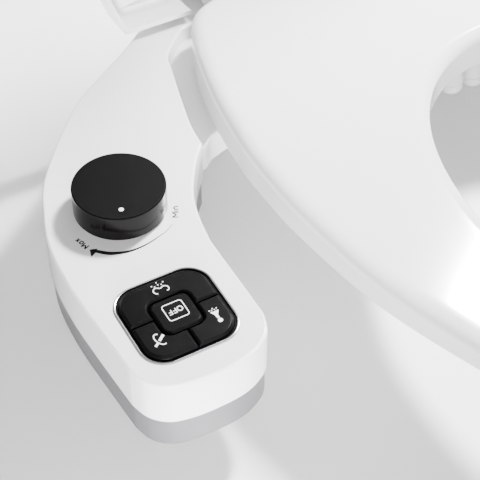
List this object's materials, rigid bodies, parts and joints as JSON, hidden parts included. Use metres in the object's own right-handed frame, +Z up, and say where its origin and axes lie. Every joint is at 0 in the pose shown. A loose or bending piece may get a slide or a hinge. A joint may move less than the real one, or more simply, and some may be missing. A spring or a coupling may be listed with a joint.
{
  "type": "bidet seat",
  "caption": "Water-powered bidet toilet seat with lid and ring, and a side control arm carrying a pressure knob and a push-button pad for rear wash, front wash, nozzle clean and off.",
  "frame": {"origin": "midway between the two seat bolts, on the face that rests on the bowl", "axes": "+Z up, -Y towards the front of the bowl, -X towards the control arm"},
  "size_m": [0.5026, 0.5122, 0.5355],
  "materials": {
    "cover_white": "gloss white moulding",
    "tray_silver": "satin silver lacquer on plastic",
    "base_grey": "matt",
    "plate_grey": "matt, glass-filled",
    "steel": "plain stainless",
    "rubber_black": "matt",
    "rubber_grey": "matt",
    "nut_white": "matt nylon",
    "knob_black": "satin top, gloss side",
    "marker_white": "paint-filled dot",
    "brass": "machined",
    "valve_grey": "acetal",
    "bezel_metal": "plated thin trim",
    "well_black": "matt",
    "button_black": "satin with printed white symbols",
    "spring_steel": "bright wire",
    "selector_grey": "matt",
    "hose_white": "natural tube",
    "nozzle_white": "gloss",
    "nozzle_grey": "satin",
    "damper_grey": "matt",
    "seat_white": "high gloss",
    "lid_white": "high gloss"
  },
  "bodies": {
    "base": {"top_cover": "cover_white", "arm_tray": "tray_silver", "base_plate": "base_grey", "arm_screw_outer": "steel", "arm_screw_root": "steel", "deck_screw_left": "steel", "deck_screw_right": "steel", "mounting_plate": "plate_grey", "bolt_left": "steel", "bolt_right": "steel", "bushing_left": "rubber_black", "bushing_right": "rubber_black", "wing_nut_left": "nut_white", "wing_nut_right": "nut_white", "spindle_seal": "rubber_black", "pressure_valve": "valve_grey", "pad_bezel": "bezel_metal", "pad_well": "well_black", "rear_wash_spring": "spring_steel", "front_wash_spring": "spring_steel", "nozzle_clean_spring": "spring_steel", "off_spring": "spring_steel", "selector_block": "selector_grey", "inlet_nipple": "brass", "feed_hose": "hose_white", "link_hose": "hose_white", "rear_wash_hose": "hose_white", "front_wash_hose": "hose_white", "nozzle_clean_hose": "hose_white", "nozzle_housing": "nozzle_white", "rear_nozzle_spring": "spring_steel", "front_nozzle_spring": "spring_steel", "hinge_post_left": "cover_white", "hinge_post_right": "cover_white", "lid_damper": "damper_grey", "seat_damper": "damper_grey", "hinge_pin_left": "steel", "hinge_pin_right": "steel"},
    "knob": {"control_knob": "knob_black", "knob_marker": "marker_white", "valve_spindle": "brass"},
    "rear_wash": {"rear_wash_button": "button_black"},
    "front_wash": {"front_wash_button": "button_black"},
    "nozzle_clean": {"nozzle_clean_button": "button_black"},
    "off": {"off_button": "button_black"},
    "rear_nozzle": {"rear_nozzle_rod": "nozzle_grey", "rear_nozzle_tip": "nozzle_white"},
    "front_nozzle": {"front_nozzle_rod": "nozzle_grey", "front_nozzle_tip": "nozzle_white"},
    "ring": {"seat_ring": "seat_white", "seat_bumper_left_rear": "rubber_grey", "seat_bumper_right_rear": "rubber_grey", "seat_bumper_left_front": "rubber_grey", "seat_bumper_right_front": "rubber_grey"},
    "cover_lid": {"lid": "lid_white", "lid_bumper_left": "rubber_grey", "lid_bumper_right": "rubber_grey"}
  },
  "joints": [
    {"name": "lid_hinge", "type": "hinge", "parent": "base", "child": "cover_lid", "pos_m": [0, 0.02, 0.04], "axis": [1, 0, 0], "range_deg": [0, 100]},
    {"name": "ring_hinge", "type": "hinge", "parent": "base", "child": "ring", "pos_m": [0, 0.02, 0.04], "axis": [1, 0, 0], "range_deg": [-99, 0]},
    {"name": "knob_turn", "type": "hinge", "parent": "base", "child": "knob", "pos_m": [-0.25125, -0.1097, 0.028], "axis": [0, 0, 1], "range_deg": [-43, 75]},
    {"name": "rear_wash_press", "type": "slide", "parent": "base", "child": "rear_wash", "axis": [0, 0, -1], "range_m": [0, 0.003], "stiffness_N_per_m": 300, "springref_m": -0.001, "deforming": ["rear_wash_spring"]},
    {"name": "front_wash_press", "type": "slide", "parent": "base", "child": "front_wash", "axis": [0, 0, -1], "range_m": [0, 0.003], "stiffness_N_per_m": 300, "springref_m": -0.001, "deforming": ["front_wash_spring"]},
    {"name": "nozzle_clean_press", "type": "slide", "parent": "base", "child": "nozzle_clean", "axis": [0, 0, -1], "range_m": [0, 0.003], "stiffness_N_per_m": 300, "springref_m": -0.001, "deforming": ["nozzle_clean_spring"]},
    {"name": "off_press", "type": "slide", "parent": "base", "child": "off", "axis": [0, 0, -1], "range_m": [0, 0.003], "stiffness_N_per_m": 300, "springref_m": -0.001, "deforming": ["off_spring"]},
    {"name": "rear_nozzle_slide", "type": "slide", "parent": "base", "child": "rear_nozzle", "axis": [0, -0.2588, -0.9659], "range_m": [0, 0.013], "stiffness_N_per_m": 100, "springref_m": -0.003, "deforming": ["rear_nozzle_spring"]},
    {"name": "front_nozzle_slide", "type": "slide", "parent": "base", "child": "front_nozzle", "axis": [0, -0.2588, -0.9659], "range_m": [0, 0.013], "stiffness_N_per_m": 100, "springref_m": -0.003, "deforming": ["front_nozzle_spring"]}
  ]
}
